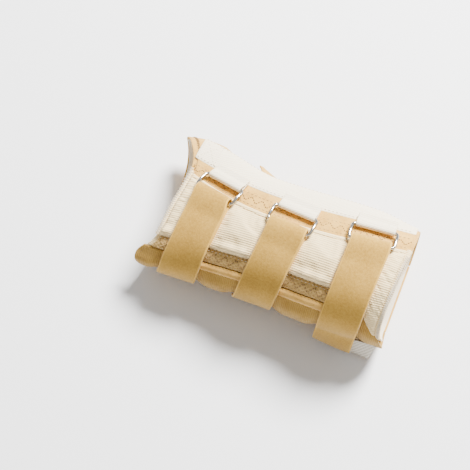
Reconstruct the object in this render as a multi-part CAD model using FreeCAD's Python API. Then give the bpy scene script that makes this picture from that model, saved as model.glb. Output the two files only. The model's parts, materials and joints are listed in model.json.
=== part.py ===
import FreeCAD, Part
import functools
import math
import os

# Wrist splint for a left hand: a wrap-round sleeve of suede and ribbed elastic, closed across the
# back of the wrist by three hook-and-loop straps that double back through wire rings.
# Frame: +X towards the forearm, +Y the thumb side, +Z the back of the hand, millimetres.
# Origin: the middle of the flat underside of the stay pocket, where the splint rests on a table.
# Angles run round the arm from the thumb side (0) over the back (90) to the little-finger side (180).

V = FreeCAD.Vector

# ---- driving dimensions --------------------------------------------------------------------------
SPLINT_LENGTH = 164.0
HALF = SPLINT_LENGTH / 2
# Stations along the arm: share of the half length, thumb-side reach, little-finger-side reach,
# height of the widest line, rise of the back above that line.
STATIONS = [
    (-1.00, 50.0, 37.0, 21.0, 18.0),
    (-0.80, 52.0, 38.5, 21.9, 20.0),
    (-0.56, 49.0, 38.2, 23.0, 24.0),
    (-0.24, 40.0, 38.0, 24.8, 28.0),
    (0.04, 39.0, 38.0, 26.0, 30.0),
    (0.63, 40.0, 40.0, 28.0, 32.0),
    (1.00, 36.0, 38.0, 28.5, 32.0),
]
SOLE_HEIGHT = 4.2          # underside of the panels above the table
SOLE_HALF_WIDTH = 16.0     # flat strip under the palm
SOLE_ANGLE = 8.0           # half the flat strip, in degrees round the arm

PANEL_THICKNESS = 1.4
LINING_THICKNESS = 1.1
PLY_GAP = 0.12             # air between two layers of one body
TONGUE_THICKNESS = 1.0
DORSAL_THICKNESS = 1.3
BAND_THICKNESS = 0.7
HEM_THICKNESS = 1.6
HEM_WIDTH = 3.2
TAPE_THICKNESS = 1.2
TAPE_WIDTH = 22.0

LINING_ANGLES = (-231.0, 80.0)
RADIAL_ANGLES = (-62.0, 82.0)
PALMAR_ANGLES = (-118.0, -62.8)
ULNAR_ANGLES = (146.0, 241.2)
TONGUE_ANGLES = (83.0, 145.2)
SEAM_BAND_ANGLES = (130.5, 145.0)
CHANNEL_ANGLES = (146.2, 157.0)
DORSAL_LOWER_ANGLE = 129.3
DORSAL_CORNER_ANGLE = 172.0

# Free edges, each as (angle, share of the half length).
DISTAL_EDGE = [
    (-235, -0.90), (-160, -0.90), (-60, -0.90), (2, -0.965), (30, -0.90), (62, -0.80), (100, -0.83),
    (131, -0.86), (163, -0.965), (200, -0.93), (235, -0.90)]
PROXIMAL_EDGE = [
    (-235, 1.0), (-60, 1.0), (20, 1.0), (63, 1.0), (131, 0.965), (160, 0.97), (198, 1.02), (235, 1.0)]
ULNAR_PROXIMAL = [(146, 0.80), (158, 0.90), (172, 0.975), (185, 1.005), (198, 1.02), (242, 1.0)]

# Curved borders over the back, as height across the arm at mid length and at the two ends.
HEM_MIDDLE_Y, HEM_DISTAL_RISE, HEM_PROXIMAL_RISE = 4.0, 22.9, 8.0
TAPE_MIDDLE_Y, TAPE_DISTAL_RISE, TAPE_PROXIMAL_RISE = 18.0, 17.5, 8.0
BORDER_CENTRE_X = 5.0
TAPE_END_INSET = 16.0
CHANNEL_ENDS = (-62.0, 58.0)

THUMB_HOLE_X = -41.0
THUMB_HOLE_ANGLE = -29.0
THUMB_HOLE_LENGTH = 44.0
THUMB_HOLE_WIDTH = 30.0
BINDING_WIDTH = 2.6

POCKET_WIDTH = 31.0
POCKET_LENGTH = 140.0
POCKET_WALL = 1.2
STAY_WIDTH = 22.0
STAY_THICKNESS = 1.5
STAY_CAP_LENGTH = 9.0
STAY_CAP_WALL = 0.5
STAY_SIDE_CLEARANCE = 0.4
STAY_FACE_CLEARANCE = 0.15
ULNAR_STAY_THICKNESS = 0.9

WIRE_DIAMETER = 1.8
RING_SIDE_CLEARANCE = 0.5  # strap edge to the wire, each side
RING_PITCH_DEPTH = 12.0    # centre to centre of the two long bars
RING_CORNER = 2.4
INNER_BAR_LIFT = 3.7
OUTER_BAR_LIFT = 4.5
BAR_CLEARANCE = 0.15

STRAP_WIDTH = 25.0
STRAP_THICKNESS = 1.3
TAB_INSET = 0.3            # webbing narrower than the strap, each side
TAB_THICKNESS = 0.8
ANCHOR_LIFT = 1.95
FLAP_LIFT = 3.6
TIP_LIFT = 2.3
STRAP_BEND_ANGLE = 156.0
STRAP_END_ANGLE = 214.0
HOOK_START_ANGLE = 190.0
HOOK_THICKNESS = 1.3
HOOK_LIFT = 0.75
JOINT_GAP = 0.4

# One entry per strap: middle of the ring's outer bar along and across the arm, turn of the ring
# in plan, and how far the strap leans towards the fingers at the little-finger side.
STRAPS = [
    {"x": -43.6, "y": 6.0, "turn": -15.0, "lean": -6.9},
    {"x": 7.2, "y": -0.6, "turn": -6.0, "lean": -7.6},
    {"x": 57.2, "y": 5.4, "turn": 3.5, "lean": -3.2},
]


# ---- the form: one smooth arm-shaped surface that every layer follows ----------------------------
def through(x, points):
    """Smooth curve through (position, value) points, level at both ends."""
    if x <= points[0][0]:
        return points[0][1]
    if x >= points[-1][0]:
        return points[-1][1]
    slopes = [0.0]
    for before, after in zip(points, points[2:]):
        slopes.append((after[1] - before[1]) / (after[0] - before[0]))
    slopes.append(0.0)
    i = max(k for k in range(len(points) - 1) if points[k][0] <= x)
    span = points[i + 1][0] - points[i][0]
    t = (x - points[i][0]) / span
    start = (2 * t**3 - 3 * t**2 + 1) * points[i][1] + (t**3 - 2 * t**2 + t) * span * slopes[i]
    return start + (3 * t**2 - 2 * t**3) * points[i + 1][1] + (t**3 - t**2) * span * slopes[i + 1]


@functools.cache
def section(x):
    return [through(x / HALF, [(s[0], s[k]) for s in STATIONS]) for k in (1, 2, 3, 4)]


def place(x, angle, lift=0.0):
    """The point of the form at that station and angle, lifted off it along its normal."""
    radial, ulnar, middle, rise = section(x)
    drop = middle - SOLE_HEIGHT
    a = angle % 360
    low, high = 270 - SOLE_ANGLE, 270 + SOLE_ANGLE
    if low < a < high:
        return V(x, SOLE_HALF_WIDTH * (a - 270) / SOLE_ANGLE, SOLE_HEIGHT - lift)
    if a <= 180:
        centre, reach, depth, q = 0.0, radial if a <= 90 else ulnar, rise, a
    elif a <= low:
        centre, reach, depth = -SOLE_HALF_WIDTH, ulnar - SOLE_HALF_WIDTH, drop
        q = 180 + (a - 180) * 90 / (low - 180)
    else:
        centre, reach, depth = SOLE_HALF_WIDTH, radial - SOLE_HALF_WIDTH, drop
        q = 270 + (a - high) * 90 / (360 - high)
    c, s = math.cos(math.radians(q)), math.sin(math.radians(q))
    long = math.hypot(reach * s, depth * c)
    return V(x, centre + reach * c + lift * depth * c / long, middle + depth * s + lift * reach * s / long)


def angle_at(x, y):
    """The angle over the back at which the form stands at that height across the arm."""
    radial, ulnar = section(x)[:2]
    share = y / (radial if y > 0 else ulnar)
    return math.degrees(math.acos(max(-1.0, min(1.0, share))))


@functools.cache
def walk(x, angle, distance):
    """The angle reached by walking that far round the form, positive towards the little finger."""
    steps = 24
    stride = distance / steps
    for _ in range(steps):
        ahead = (place(x, angle + 0.5) - place(x, angle)).Length
        angle += 0.5 * stride / ahead
    return angle


def value(item, *at):
    return item(*at) if callable(item) else item


def slab(ends, angles, lifts, rows=15, columns=25):
    """A curved sheet of the form: ends(angle) along the arm, angles(x) round it, lifts(x, angle)."""
    faces = []
    grids = []
    for lift in lifts:
        grid = []
        for i in range(rows):
            u = i / (rows - 1)
            line = []
            for j in range(columns):
                v = j / (columns - 1)
                x, angle = 0.0, 0.0
                for _ in range(6):
                    low, high = value(angles[0], x), value(angles[1], x)
                    angle = low + v * (high - low)
                    first, last = value(ends[0], angle), value(ends[1], angle)
                    x = first + u * (last - first)
                line.append(place(x, angle, value(lift, x, angle)))
            grid.append(line)
        surface = Part.BSplineSurface()
        surface.interpolate(grid)
        grids.append(surface)
        faces.append(surface.toShape())
    inner, outer = grids
    u0, u1, v0, v1 = inner.bounds()
    straight = 1
    for u in (u0, u1):
        faces.append(Part.makeRuledSurface(inner.uIso(u).toShape(), outer.uIso(u).toShape(), straight))
    for v in (v0, v1):
        faces.append(Part.makeRuledSurface(inner.vIso(v).toShape(), outer.vIso(v).toShape(), straight))
    shell = Part.makeShell(faces)
    shell.sewShape()
    return closed(Part.makeSolid(shell))


def closed(solid):
    if solid.Volume < 0:
        solid.reverse()
    return solid


def border(x, middle_y, distal_rise, proximal_rise):
    along = (x - BORDER_CENTRE_X) / HALF
    return middle_y + (distal_rise if along < 0 else proximal_rise) * along**2


def hem_angle(x):
    return angle_at(x, border(x, HEM_MIDDLE_Y, HEM_DISTAL_RISE, HEM_PROXIMAL_RISE))


def tape_angle(x):
    return angle_at(x, border(x, TAPE_MIDDLE_Y, TAPE_DISTAL_RISE, TAPE_PROXIMAL_RISE))


def around(angle):
    """The same angle brought into the range of the edge tables."""
    return angle if angle > -118.01 else angle + 360


def distal(angle, inset=0.0):
    return HALF * through(around(angle), DISTAL_EDGE) + inset


def proximal(angle, inset=0.0):
    return HALF * through(around(angle), PROXIMAL_EDGE) - inset


def ulnar_proximal(angle):
    return HALF * through(angle, ULNAR_PROXIMAL)


# ---- sleeve --------------------------------------------------------------------------------------
panel_lifts = (-PANEL_THICKNESS, 0.0)
lining_lifts = (-PANEL_THICKNESS - PLY_GAP - LINING_THICKNESS, -PANEL_THICKNESS - PLY_GAP)


def hole_prism(margin):
    """An oval bar through the thumb hole, wider than the hole by the margin all round."""
    outward = place(THUMB_HOLE_X, THUMB_HOLE_ANGLE, 1.0) - place(THUMB_HOLE_X, THUMB_HOLE_ANGLE)
    centre = place(THUMB_HOLE_X, THUMB_HOLE_ANGLE, -12.0)
    oval = Part.Ellipse(centre, THUMB_HOLE_LENGTH / 2 + margin, THUMB_HOLE_WIDTH / 2 + margin)
    oval.Axis = outward
    oval.XAxis = V(1, 0, 0)
    return Part.Face(Part.Wire(oval.toShape())).extrude(outward * 34.0)


def lining():
    whole = slab(
        (lambda a: distal(a, 1.2), lambda a: proximal(a, 1.2)), LINING_ANGLES, lining_lifts, 29, 81)
    return whole.cut(hole_prism(PLY_GAP + BINDING_WIDTH))


def radial_panel():
    whole = slab((distal, proximal), RADIAL_ANGLES, panel_lifts, 29, 37)
    return whole.cut(hole_prism(PLY_GAP + BINDING_WIDTH))


def thumb_binding():
    sheet = slab((-0.85 * HALF, -0.12 * HALF), (-88.0, 30.0), (lining_lifts[0], PLY_GAP), 13, 31)
    return sheet.common(hole_prism(BINDING_WIDTH)).cut(hole_prism(0.0))


def palmar_panel():
    whole = slab((distal, proximal), PALMAR_ANGLES, panel_lifts, 29, 25)
    return whole.cut(hole_prism(PLY_GAP + BINDING_WIDTH))


def ulnar_panel():
    return slab((distal, ulnar_proximal), ULNAR_ANGLES, panel_lifts, 29, 25)


def tongue():
    lifts = (-PANEL_THICKNESS, -PANEL_THICKNESS + TONGUE_THICKNESS)
    return slab((lambda a: distal(a, 1.0), lambda a: proximal(a, 1.0)), TONGUE_ANGLES, lifts, 29, 17)


# ---- layers over the sleeve ----------------------------------------------------------------------
dorsal_lifts = (PLY_GAP, PLY_GAP + DORSAL_THICKNESS)
hem_lifts = (PLY_GAP, PLY_GAP + HEM_THICKNESS)
band_lifts = (PLY_GAP, PLY_GAP + BAND_THICKNESS)


def dorsal_lower(x):
    """Lower border of the elastic panel: level, then slanting down to the cuff's corner."""
    ramp = [(0.74, DORSAL_LOWER_ANGLE), (0.84, 152.0), (0.97, DORSAL_CORNER_ANGLE)]
    return through(x / HALF, ramp)


def dorsal_panel():
    return slab(
        (lambda a: distal(a, HEM_WIDTH), lambda a: proximal(a, HEM_WIDTH)),
        (lambda x: walk(x, hem_angle(x), HEM_WIDTH), dorsal_lower), dorsal_lifts, 57, 21)


def dorsal_hem():
    return slab(
        (lambda a: distal(a, HEM_WIDTH), lambda a: proximal(a, HEM_WIDTH)),
        (hem_angle, lambda x: walk(x, hem_angle(x), HEM_WIDTH - PLY_GAP)), hem_lifts, 27, 5)


def end_hem(edge, direction, low, high):
    """The turned hem across one end, from the free edge inwards."""
    inner = lambda a: edge(a) + direction * (HEM_WIDTH - PLY_GAP)
    ends = (edge, inner) if direction > 0 else (inner, edge)
    return slab(ends, (low, high), hem_lifts, 5, 27)


def distal_hem():
    return end_hem(distal, 1, hem_angle(distal(62, HEM_WIDTH)), DORSAL_LOWER_ANGLE)


def proximal_hem():
    return end_hem(proximal, -1, hem_angle(HALF - 2 * HEM_WIDTH), DORSAL_CORNER_ANGLE)


def radial_seam_band():
    ends = (lambda a: distal(a, 3.0), lambda a: proximal(a, 1.0))
    return slab(
        ends, (lambda x: walk(x, tape_angle(x), PLY_GAP), lambda x: walk(x, hem_angle(x), -PLY_GAP)),
        band_lifts, 27, 7)


def ulnar_seam_band():
    return slab((lambda a: distal(a, 4.0), CHANNEL_ENDS[1]), SEAM_BAND_ANGLES, band_lifts, 25, 7)


def channel_edges(inset):
    low, high = CHANNEL_ANGLES
    return (lambda x: walk(x, low, inset), lambda x: walk(x, high, -inset))


def ulnar_stay_channel():
    cover = slab(CHANNEL_ENDS, CHANNEL_ANGLES, (PLY_GAP, 2 * PLY_GAP + ULNAR_STAY_THICKNESS + 0.8), 21, 7)
    room = slab(
        (CHANNEL_ENDS[0] + 1.5, CHANNEL_ENDS[1] - 1.5), channel_edges(1.2),
        (0.0, 2 * PLY_GAP + ULNAR_STAY_THICKNESS + 0.1), 21, 7)
    return cover.cut(room)


def ulnar_stay():
    return slab(
        (CHANNEL_ENDS[0] + 2.5, CHANNEL_ENDS[1] - 2.5), channel_edges(1.6),
        (PLY_GAP, PLY_GAP + ULNAR_STAY_THICKNESS), 21, 7)


def ring_tape():
    ends = (lambda a: -HALF + TAPE_END_INSET, lambda a: proximal(a, 2.0))
    return slab(
        ends, (lambda x: walk(x, tape_angle(x), -TAPE_WIDTH), tape_angle),
        (2 * PLY_GAP, 2 * PLY_GAP + TAPE_THICKNESS), 27, 11)


# ---- palmar stay and its pocket ------------------------------------------------------------------
slot_height = STAY_THICKNESS + 2 * STAY_CAP_WALL + 2 * STAY_FACE_CLEARANCE
stay_middle = POCKET_WALL + slot_height / 2
slot_width = STAY_WIDTH + 2 * STAY_CAP_WALL + 2 * STAY_SIDE_CLEARANCE
stay_length = POCKET_LENGTH - 8.0
pocket_start = -POCKET_LENGTH / 2
slot_start = pocket_start + 3.0


def palmar_pocket():
    height = SOLE_HEIGHT - PLY_GAP
    block = Part.makeBox(POCKET_LENGTH, POCKET_WIDTH, height, V(pocket_start, -POCKET_WIDTH / 2, 0))
    uprights = [e for e in block.Edges if abs(e.Vertexes[0].Z - e.Vertexes[1].Z) > 1]
    block = block.makeFillet(5.0, uprights)
    slot = Part.makeBox(
        POCKET_LENGTH, slot_width, slot_height, V(slot_start, -slot_width / 2, POCKET_WALL))
    return block.cut(slot)


def rounded_bar(length, width, thickness, start, middle):
    bar = Part.makeBox(length, width, thickness, V(start, -width / 2, middle - thickness / 2))
    uprights = [e for e in bar.Edges if abs(e.Vertexes[0].Z - e.Vertexes[1].Z) > thickness / 2]
    return bar.makeFillet(min(6.0, width / 2 - 1), uprights)


stay_start = slot_start + STAY_CAP_WALL + 0.5


def palmar_stay():
    return rounded_bar(stay_length, STAY_WIDTH, STAY_THICKNESS, stay_start, stay_middle)


def palmar_stay_caps():
    """Two dipped vinyl caps, one over each end of the metal stay."""
    skin = rounded_bar(
        stay_length + 2 * STAY_CAP_WALL, STAY_WIDTH + 2 * STAY_CAP_WALL,
        STAY_THICKNESS + 2 * STAY_CAP_WALL, stay_start - STAY_CAP_WALL, stay_middle)
    gap = Part.makeBox(
        stay_length - 2 * STAY_CAP_LENGTH, 2 * STAY_WIDTH, 10.0,
        V(stay_start + STAY_CAP_LENGTH, -STAY_WIDTH, stay_middle - 5))
    return skin.cut(palmar_stay()).cut(gap)


# ---- rings, tabs and straps ----------------------------------------------------------------------
def ring_frame(strap):
    """Outer bar's middle, its direction, the direction to the inner bar, and the normal."""
    turn = math.radians(strap["turn"])
    across = V(-math.sin(turn), math.cos(turn), 0)
    along = V(math.cos(turn), math.sin(turn), 0)

    def on_form(flat, lift):
        return place(flat.x, angle_at(flat.x, flat.y), lift)

    middle = V(strap["x"], strap["y"], 0)
    reach = STRAP_WIDTH / 2
    bar = on_form(middle + along * reach, OUTER_BAR_LIFT) - on_form(middle - along * reach, OUTER_BAR_LIFT)
    bar.normalize()
    centre = on_form(middle, OUTER_BAR_LIFT)
    inner = on_form(middle + across * RING_PITCH_DEPTH, INNER_BAR_LIFT) - centre
    inner = inner - bar * inner.dot(bar)
    inner.normalize()
    return centre, bar, inner, bar.cross(inner)


def into(frame, shape):
    """Carry a shape drawn with X along the bar and Y towards the inner bar to its place."""
    centre, bar, inner, normal = frame
    matrix = FreeCAD.Matrix(
        bar.x, inner.x, normal.x, centre.x,
        bar.y, inner.y, normal.y, centre.y,
        bar.z, inner.z, normal.z, centre.z,
        0, 0, 0, 1)
    return shape.transformed(matrix, True)


def wire_ring(frame):
    """Four straight wires joined by quarter bends."""
    wire = WIRE_DIAMETER / 2
    half_width = (STRAP_WIDTH + WIRE_DIAMETER) / 2 + RING_SIDE_CLEARANCE
    r = RING_CORNER
    straight = half_width - r
    pieces = []
    for x in (-half_width, half_width):
        pieces.append(Part.makeCylinder(wire, RING_PITCH_DEPTH - 2 * r, V(x, r, 0), V(0, 1, 0)))
    for bar, centre, turn in ((0, r, 1), (RING_PITCH_DEPTH, RING_PITCH_DEPTH - r, -1)):
        pieces.append(Part.makeCylinder(wire, 2 * straight, V(-straight, bar, 0), V(1, 0, 0)))
        for side in (-1, 1):
            end = V(side * straight, bar, 0)
            disc = Part.Face(Part.Wire(Part.Circle(end, V(1, 0, 0), wire).toShape()))
            pieces.append(disc.revolve(V(side * straight, centre, 0), V(0, 0, side * turn), 90))
    ring = pieces[0].multiFuse(pieces[1:]).removeSplitter()
    return into(frame, closed(ring.Solids[0]))


bore = WIRE_DIAMETER / 2 + BAR_CLEARANCE


def along_bar(outline, width):
    """Extrude a section drawn in the Y, Z plane, centred on the bar's length."""
    face = Part.Face(Part.Wire(outline))
    face.translate(V(-width / 2, 0, 0))
    return face.extrude(V(width, 0, 0))


def strap_fold(frame):
    """The turn of the strap round the outer bar, with two short legs."""
    r, big, leg = bore, bore + STRAP_THICKNESS, -1.4
    outline = [
        Part.LineSegment(V(0, leg, r), V(0, leg, big)).toShape(),
        Part.LineSegment(V(0, leg, big), V(0, 0, big)).toShape(),
        Part.Arc(V(0, 0, big), V(0, big, 0), V(0, 0, -big)).toShape(),
        Part.LineSegment(V(0, 0, -big), V(0, leg, -big)).toShape(),
        Part.LineSegment(V(0, leg, -big), V(0, leg, -r)).toShape(),
        Part.LineSegment(V(0, leg, -r), V(0, 0, -r)).toShape(),
        Part.Arc(V(0, 0, -r), V(0, r, 0), V(0, 0, r)).toShape(),
        Part.LineSegment(V(0, 0, r), V(0, leg, r)).toShape(),
    ]
    return into(frame, along_bar(outline, STRAP_WIDTH))


def tab(frame):
    """The webbing loop round the inner bar, its two plies sewn together up to the tape."""
    big = bore + TAB_THICKNESS
    tail, low, thick = 9.5, -big + 0.15, 2 * TAB_THICKNESS
    depth = RING_PITCH_DEPTH
    width = STRAP_WIDTH - 2 * TAB_INSET
    outline = [
        Part.Arc(V(0, depth, big), V(0, depth - big, 0), V(0, depth, -big)).toShape(),
        Part.LineSegment(V(0, depth, -big), V(0, depth + tail, low)).toShape(),
        Part.LineSegment(V(0, depth + tail, low), V(0, depth + tail, low + thick)).toShape(),
        Part.LineSegment(V(0, depth + tail, low + thick), V(0, depth, big)).toShape(),
    ]
    hole = Part.makeCylinder(bore, 2 * width, V(-width, depth, 0), V(1, 0, 0))
    return into(frame, along_bar(outline, width).cut(hole))


def strap_ends(strap, start_angle):
    """The two long edges of a strap, leaning as it runs round to the little-finger side."""
    def middle(a):
        return strap["x"] + strap["lean"] * (a - start_angle) / (180 - start_angle)
    return (lambda a: middle(a) - STRAP_WIDTH / 2, lambda a: middle(a) + STRAP_WIDTH / 2)


def strap_start(strap, distance):
    """The angle at each station of the line that far on the little-finger side of the outer bar."""
    turn = math.radians(strap["turn"])

    def start(x):
        y = strap["y"] + (x - strap["x"]) * math.tan(turn)
        return walk(x, angle_at(x, y), distance / math.cos(turn))
    return start


def flap_lift(start):
    """Lift of the outer ply: high over the bar, then settling on the ply beneath."""
    top = OUTER_BAR_LIFT + bore

    def lift(x, angle):
        s = max(0.0, min(1.0, (angle - start(x)) / 18.0))
        blend = s * s * (3 - 2 * s)
        base = through(angle, [(125, FLAP_LIFT), (185, TIP_LIFT)])
        return top + (base - top) * blend
    return lift


def shifted(lift, extra):
    return lambda x, angle: lift(x, angle) + extra


def strap_pieces(strap):
    start = strap_start(strap, 1.4 + JOINT_GAP)
    ends = strap_ends(strap, start(strap["x"]))
    lift = flap_lift(start)
    lifts = (lift, shifted(lift, STRAP_THICKNESS))
    gap = JOINT_GAP / 2
    anchor = slab(
        ends, (start, DORSAL_LOWER_ANGLE - 2), (ANCHOR_LIFT, ANCHOR_LIFT + STRAP_THICKNESS), 7, 15)
    flap = slab(ends, (start, lambda x: walk(x, STRAP_BEND_ANGLE, -gap)), lifts, 7, 31)
    tip = slab(ends, (lambda x: walk(x, STRAP_BEND_ANGLE, gap), STRAP_END_ANGLE), lifts, 7, 19)
    return anchor, flap, tip, ends


def hook_tab(strap, number, ends):
    """The stiff hook patch under the strap's end; the last one is skewed and springs off a little."""
    if number < 3:
        inset = 0.6
        angles = (HOOK_START_ANGLE, STRAP_END_ANGLE - 1.0)
        sides = (lambda a: ends[0](a) + inset, lambda a: ends[1](a) - inset)
        return slab(sides, angles, (HOOK_LIFT, HOOK_LIFT + HOOK_THICKNESS), 7, 11)
    flare = lambda x, a: HOOK_LIFT + 4.5 * max(0.0, (a - STRAP_END_ANGLE) / 16.0) ** 1.5
    sides = (lambda a: ends[0](a) + 12.0, lambda a: ends[1](a) + 8.0)
    angles = (HOOK_START_ANGLE + 6, STRAP_END_ANGLE + 16)
    return slab(sides, angles, (flare, shifted(flare, HOOK_THICKNESS)), 7, 13)


def build():
    nodes = {
        "lining": lining(),
        "radial_panel": radial_panel(),
        "palmar_panel": palmar_panel(),
        "ulnar_panel": ulnar_panel(),
        "tongue": tongue(),
        "dorsal_panel": dorsal_panel(),
        "dorsal_hem": dorsal_hem(),
        "distal_hem": distal_hem(),
        "proximal_hem": proximal_hem(),
        "radial_seam_band": radial_seam_band(),
        "ulnar_seam_band": ulnar_seam_band(),
        "ulnar_stay_channel": ulnar_stay_channel(),
        "ulnar_stay": ulnar_stay(),
        "thumb_binding": thumb_binding(),
        "palmar_pocket": palmar_pocket(),
        "palmar_stay": palmar_stay(),
        "palmar_stay_caps": palmar_stay_caps(),
        "ring_tape": ring_tape(),
    }
    for number, strap in enumerate(STRAPS, 1):
        frame = ring_frame(strap)
        anchor, flap, tip, ends = strap_pieces(strap)
        nodes[f"ring_tab_{number}"] = tab(frame)
        nodes[f"ring_{number}"] = wire_ring(frame)
        nodes[f"strap_{number}_anchor"] = anchor
        nodes[f"strap_{number}_fold"] = strap_fold(frame)
        nodes[f"strap_{number}_flap"] = flap
        nodes[f"strap_{number}_tip"] = tip
        nodes[f"hook_tab_{number}"] = hook_tab(strap, number, ends)
    return nodes


os.makedirs("parts", exist_ok=True)
for name, shape in build().items():
    shape.exportStep(f"parts/{name}.step")
    print(name, len(shape.Solids), shape.isValid(), round(shape.Volume, 1))
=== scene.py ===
import bmesh
import bpy
import json
import math
import numpy as np
from mathutils import Matrix, Vector

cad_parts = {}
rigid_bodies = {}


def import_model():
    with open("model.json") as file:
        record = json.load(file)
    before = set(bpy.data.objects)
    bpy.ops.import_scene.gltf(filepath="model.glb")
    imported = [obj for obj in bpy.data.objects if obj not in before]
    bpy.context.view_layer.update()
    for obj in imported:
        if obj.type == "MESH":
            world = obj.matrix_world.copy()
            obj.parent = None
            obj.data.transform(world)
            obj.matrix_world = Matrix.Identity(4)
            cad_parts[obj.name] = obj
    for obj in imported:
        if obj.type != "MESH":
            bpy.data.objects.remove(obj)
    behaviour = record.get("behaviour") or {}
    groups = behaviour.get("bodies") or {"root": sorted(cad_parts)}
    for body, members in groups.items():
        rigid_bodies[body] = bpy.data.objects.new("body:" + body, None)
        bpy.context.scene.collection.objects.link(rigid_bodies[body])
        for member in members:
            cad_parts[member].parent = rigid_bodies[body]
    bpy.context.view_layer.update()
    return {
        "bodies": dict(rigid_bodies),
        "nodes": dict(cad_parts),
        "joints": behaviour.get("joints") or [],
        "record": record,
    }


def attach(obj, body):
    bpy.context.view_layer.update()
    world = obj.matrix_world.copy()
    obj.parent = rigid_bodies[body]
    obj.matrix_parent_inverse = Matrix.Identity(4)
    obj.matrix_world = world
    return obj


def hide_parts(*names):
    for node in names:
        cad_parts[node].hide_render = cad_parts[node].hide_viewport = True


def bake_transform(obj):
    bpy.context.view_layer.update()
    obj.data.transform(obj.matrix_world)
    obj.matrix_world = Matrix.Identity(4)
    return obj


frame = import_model()
MM = 0.001


# ---- camera, light and table -----------------------------
# A long lens looks down on the back of the wrist from the little-finger side. A broad soft light
# hangs on the thumb side, so the little-finger side falls into gentle shade.
azimuth, elevation = math.radians(21), math.radians(68)
back = Vector((math.sin(azimuth) * math.cos(elevation), -math.cos(azimuth) * math.cos(elevation),
               math.sin(elevation)))
right = Vector((math.cos(azimuth), math.sin(azimuth), 0))
up = back.cross(right)
target = Vector((0, 0, 0.030)) - right * 0.0253 + up * 0.0037
camera_data = bpy.data.cameras.new("studio_camera")
camera_data.lens = 124.1
camera_data.clip_end = 20
camera = bpy.data.objects.new("studio_camera", camera_data)
camera.matrix_world = Matrix.Translation(target + back) @ Matrix((right, up, back)).transposed().to_4x4()
bpy.context.scene.collection.objects.link(camera)
bpy.context.scene.camera = camera

for name, place_at, size, power in (
        ("key_light", (0.35, 0.95, 1.15), 0.6, 124.0),
        ("fill_light", (-0.9, -0.5, 0.9), 1.2, 0.8)):
    light = bpy.data.lights.new(name, "AREA")
    light.shape = "DISK"
    light.size = size
    light.energy = power
    lamp = bpy.data.objects.new(name, light)
    aim = Vector((0, 0, 0.03)) - Vector(place_at)
    lamp.matrix_world = Matrix.Translation(place_at) @ aim.to_track_quat("-Z", "Y").to_matrix().to_4x4()
    bpy.context.scene.collection.objects.link(lamp)

world = bpy.data.worlds.new("studio")
world.use_nodes = True
world.node_tree.nodes["Background"].inputs["Color"].default_value = (1, 1, 1, 1)
world.node_tree.nodes["Background"].inputs["Strength"].default_value = 0.5
bpy.context.scene.world = world

bm = bmesh.new()
bmesh.ops.create_grid(bm, x_segments=1, y_segments=1, size=3)
bmesh.ops.translate(bm, verts=bm.verts, vec=(0, 0, -0.0002))
table_mesh = bpy.data.meshes.new("table")
bm.to_mesh(table_mesh)
bm.free()
table = bpy.data.objects.new("table", table_mesh)
table_finish = bpy.data.materials.new("pale_table")
table_finish.use_nodes = True
table_finish.node_tree.nodes["Principled BSDF"].inputs["Base Color"].default_value = (0.97, 0.97, 0.97, 1)
table_finish.node_tree.nodes["Principled BSDF"].inputs["Roughness"].default_value = 0.9
table_mesh.materials.append(table_finish)
bpy.context.scene.collection.objects.link(table)


# ---- soft lining -----------------------------------------
# Brushed cotton, cut to the arm and sewn inside every other layer. Its shape is the splint's own:
# a sleeve flat under the palm, wide over the thumb's root and narrow at the wrist.
length = 164.0
half = length / 2
stations = [
    (-1.00, 50.0, 37.0, 21.0, 18.0),
    (-0.80, 52.0, 38.5, 21.9, 20.0),
    (-0.56, 49.0, 38.2, 23.0, 24.0),
    (-0.24, 40.0, 38.0, 24.8, 28.0),
    (0.04, 39.0, 38.0, 26.0, 30.0),
    (0.63, 40.0, 40.0, 28.0, 32.0),
    (1.00, 36.0, 38.0, 28.5, 32.0),
]
sole_height, sole_half_width, sole_angle = 4.2, 16.0, 8.0
panel_top, panel_thickness, ply_gap = 0.0, 1.4, 0.12


def through(x, points):
    """Smooth curve through (position, value) points, level at both ends."""
    at = np.array([p[0] for p in points], float)
    values = np.array([p[1] for p in points], float)
    slopes = np.zeros(len(points))
    slopes[1:-1] = (values[2:] - values[:-2]) / (at[2:] - at[:-2])
    x = np.clip(np.asarray(x, float), at[0], at[-1])
    i = np.clip(np.searchsorted(at, x, side="right") - 1, 0, len(points) - 2)
    span = at[i + 1] - at[i]
    t = (x - at[i]) / span
    first = (2 * t**3 - 3 * t**2 + 1) * values[i] + (t**3 - 2 * t**2 + t) * span * slopes[i]
    return first + (3 * t**2 - 2 * t**3) * values[i + 1] + (t**3 - t**2) * span * slopes[i + 1]


def section(x):
    return [through(np.asarray(x) / half, [(s[0], s[k]) for s in stations]) for k in (1, 2, 3, 4)]


def place(x, angle, lift):
    """Points of the sleeve, in millimetres: x along the arm, the angle round it, and the height
    off it. The angle is 0 at the thumb side, 90 on the back, 180 at the little-finger side."""
    x, angle, lift = np.broadcast_arrays(*(np.asarray(k, float) for k in (x, angle, lift)))
    radial, ulnar, middle, rise = section(x)
    drop = middle - sole_height
    a = angle % 360
    low, high = 270 - sole_angle, 270 + sole_angle
    zones = [a <= 90, a <= 180, a <= low, a < high]
    centre = np.select(zones, [0, 0, -sole_half_width, 0], sole_half_width)
    reach = np.select(zones, [radial, ulnar, ulnar - sole_half_width, 1], radial - sole_half_width)
    depth = np.select(zones, [rise, rise, drop, drop], drop)
    q = np.select(
        zones, [a, a, 180 + (a - 180) * 90 / (low - 180), 270], 270 + (a - high) * 90 / (360 - high))
    c, s = np.cos(np.radians(q)), np.sin(np.radians(q))
    along = np.hypot(reach * s, depth * c)
    y = centre + reach * c + lift * depth * c / along
    z = middle + depth * s + lift * reach * s / along
    flat = (a > low) & (a < high)
    y = np.where(flat, sole_half_width * (a - 270) / sole_angle, y)
    z = np.where(flat, sole_height - lift, z)
    return np.stack([x, y, z], -1)


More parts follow.
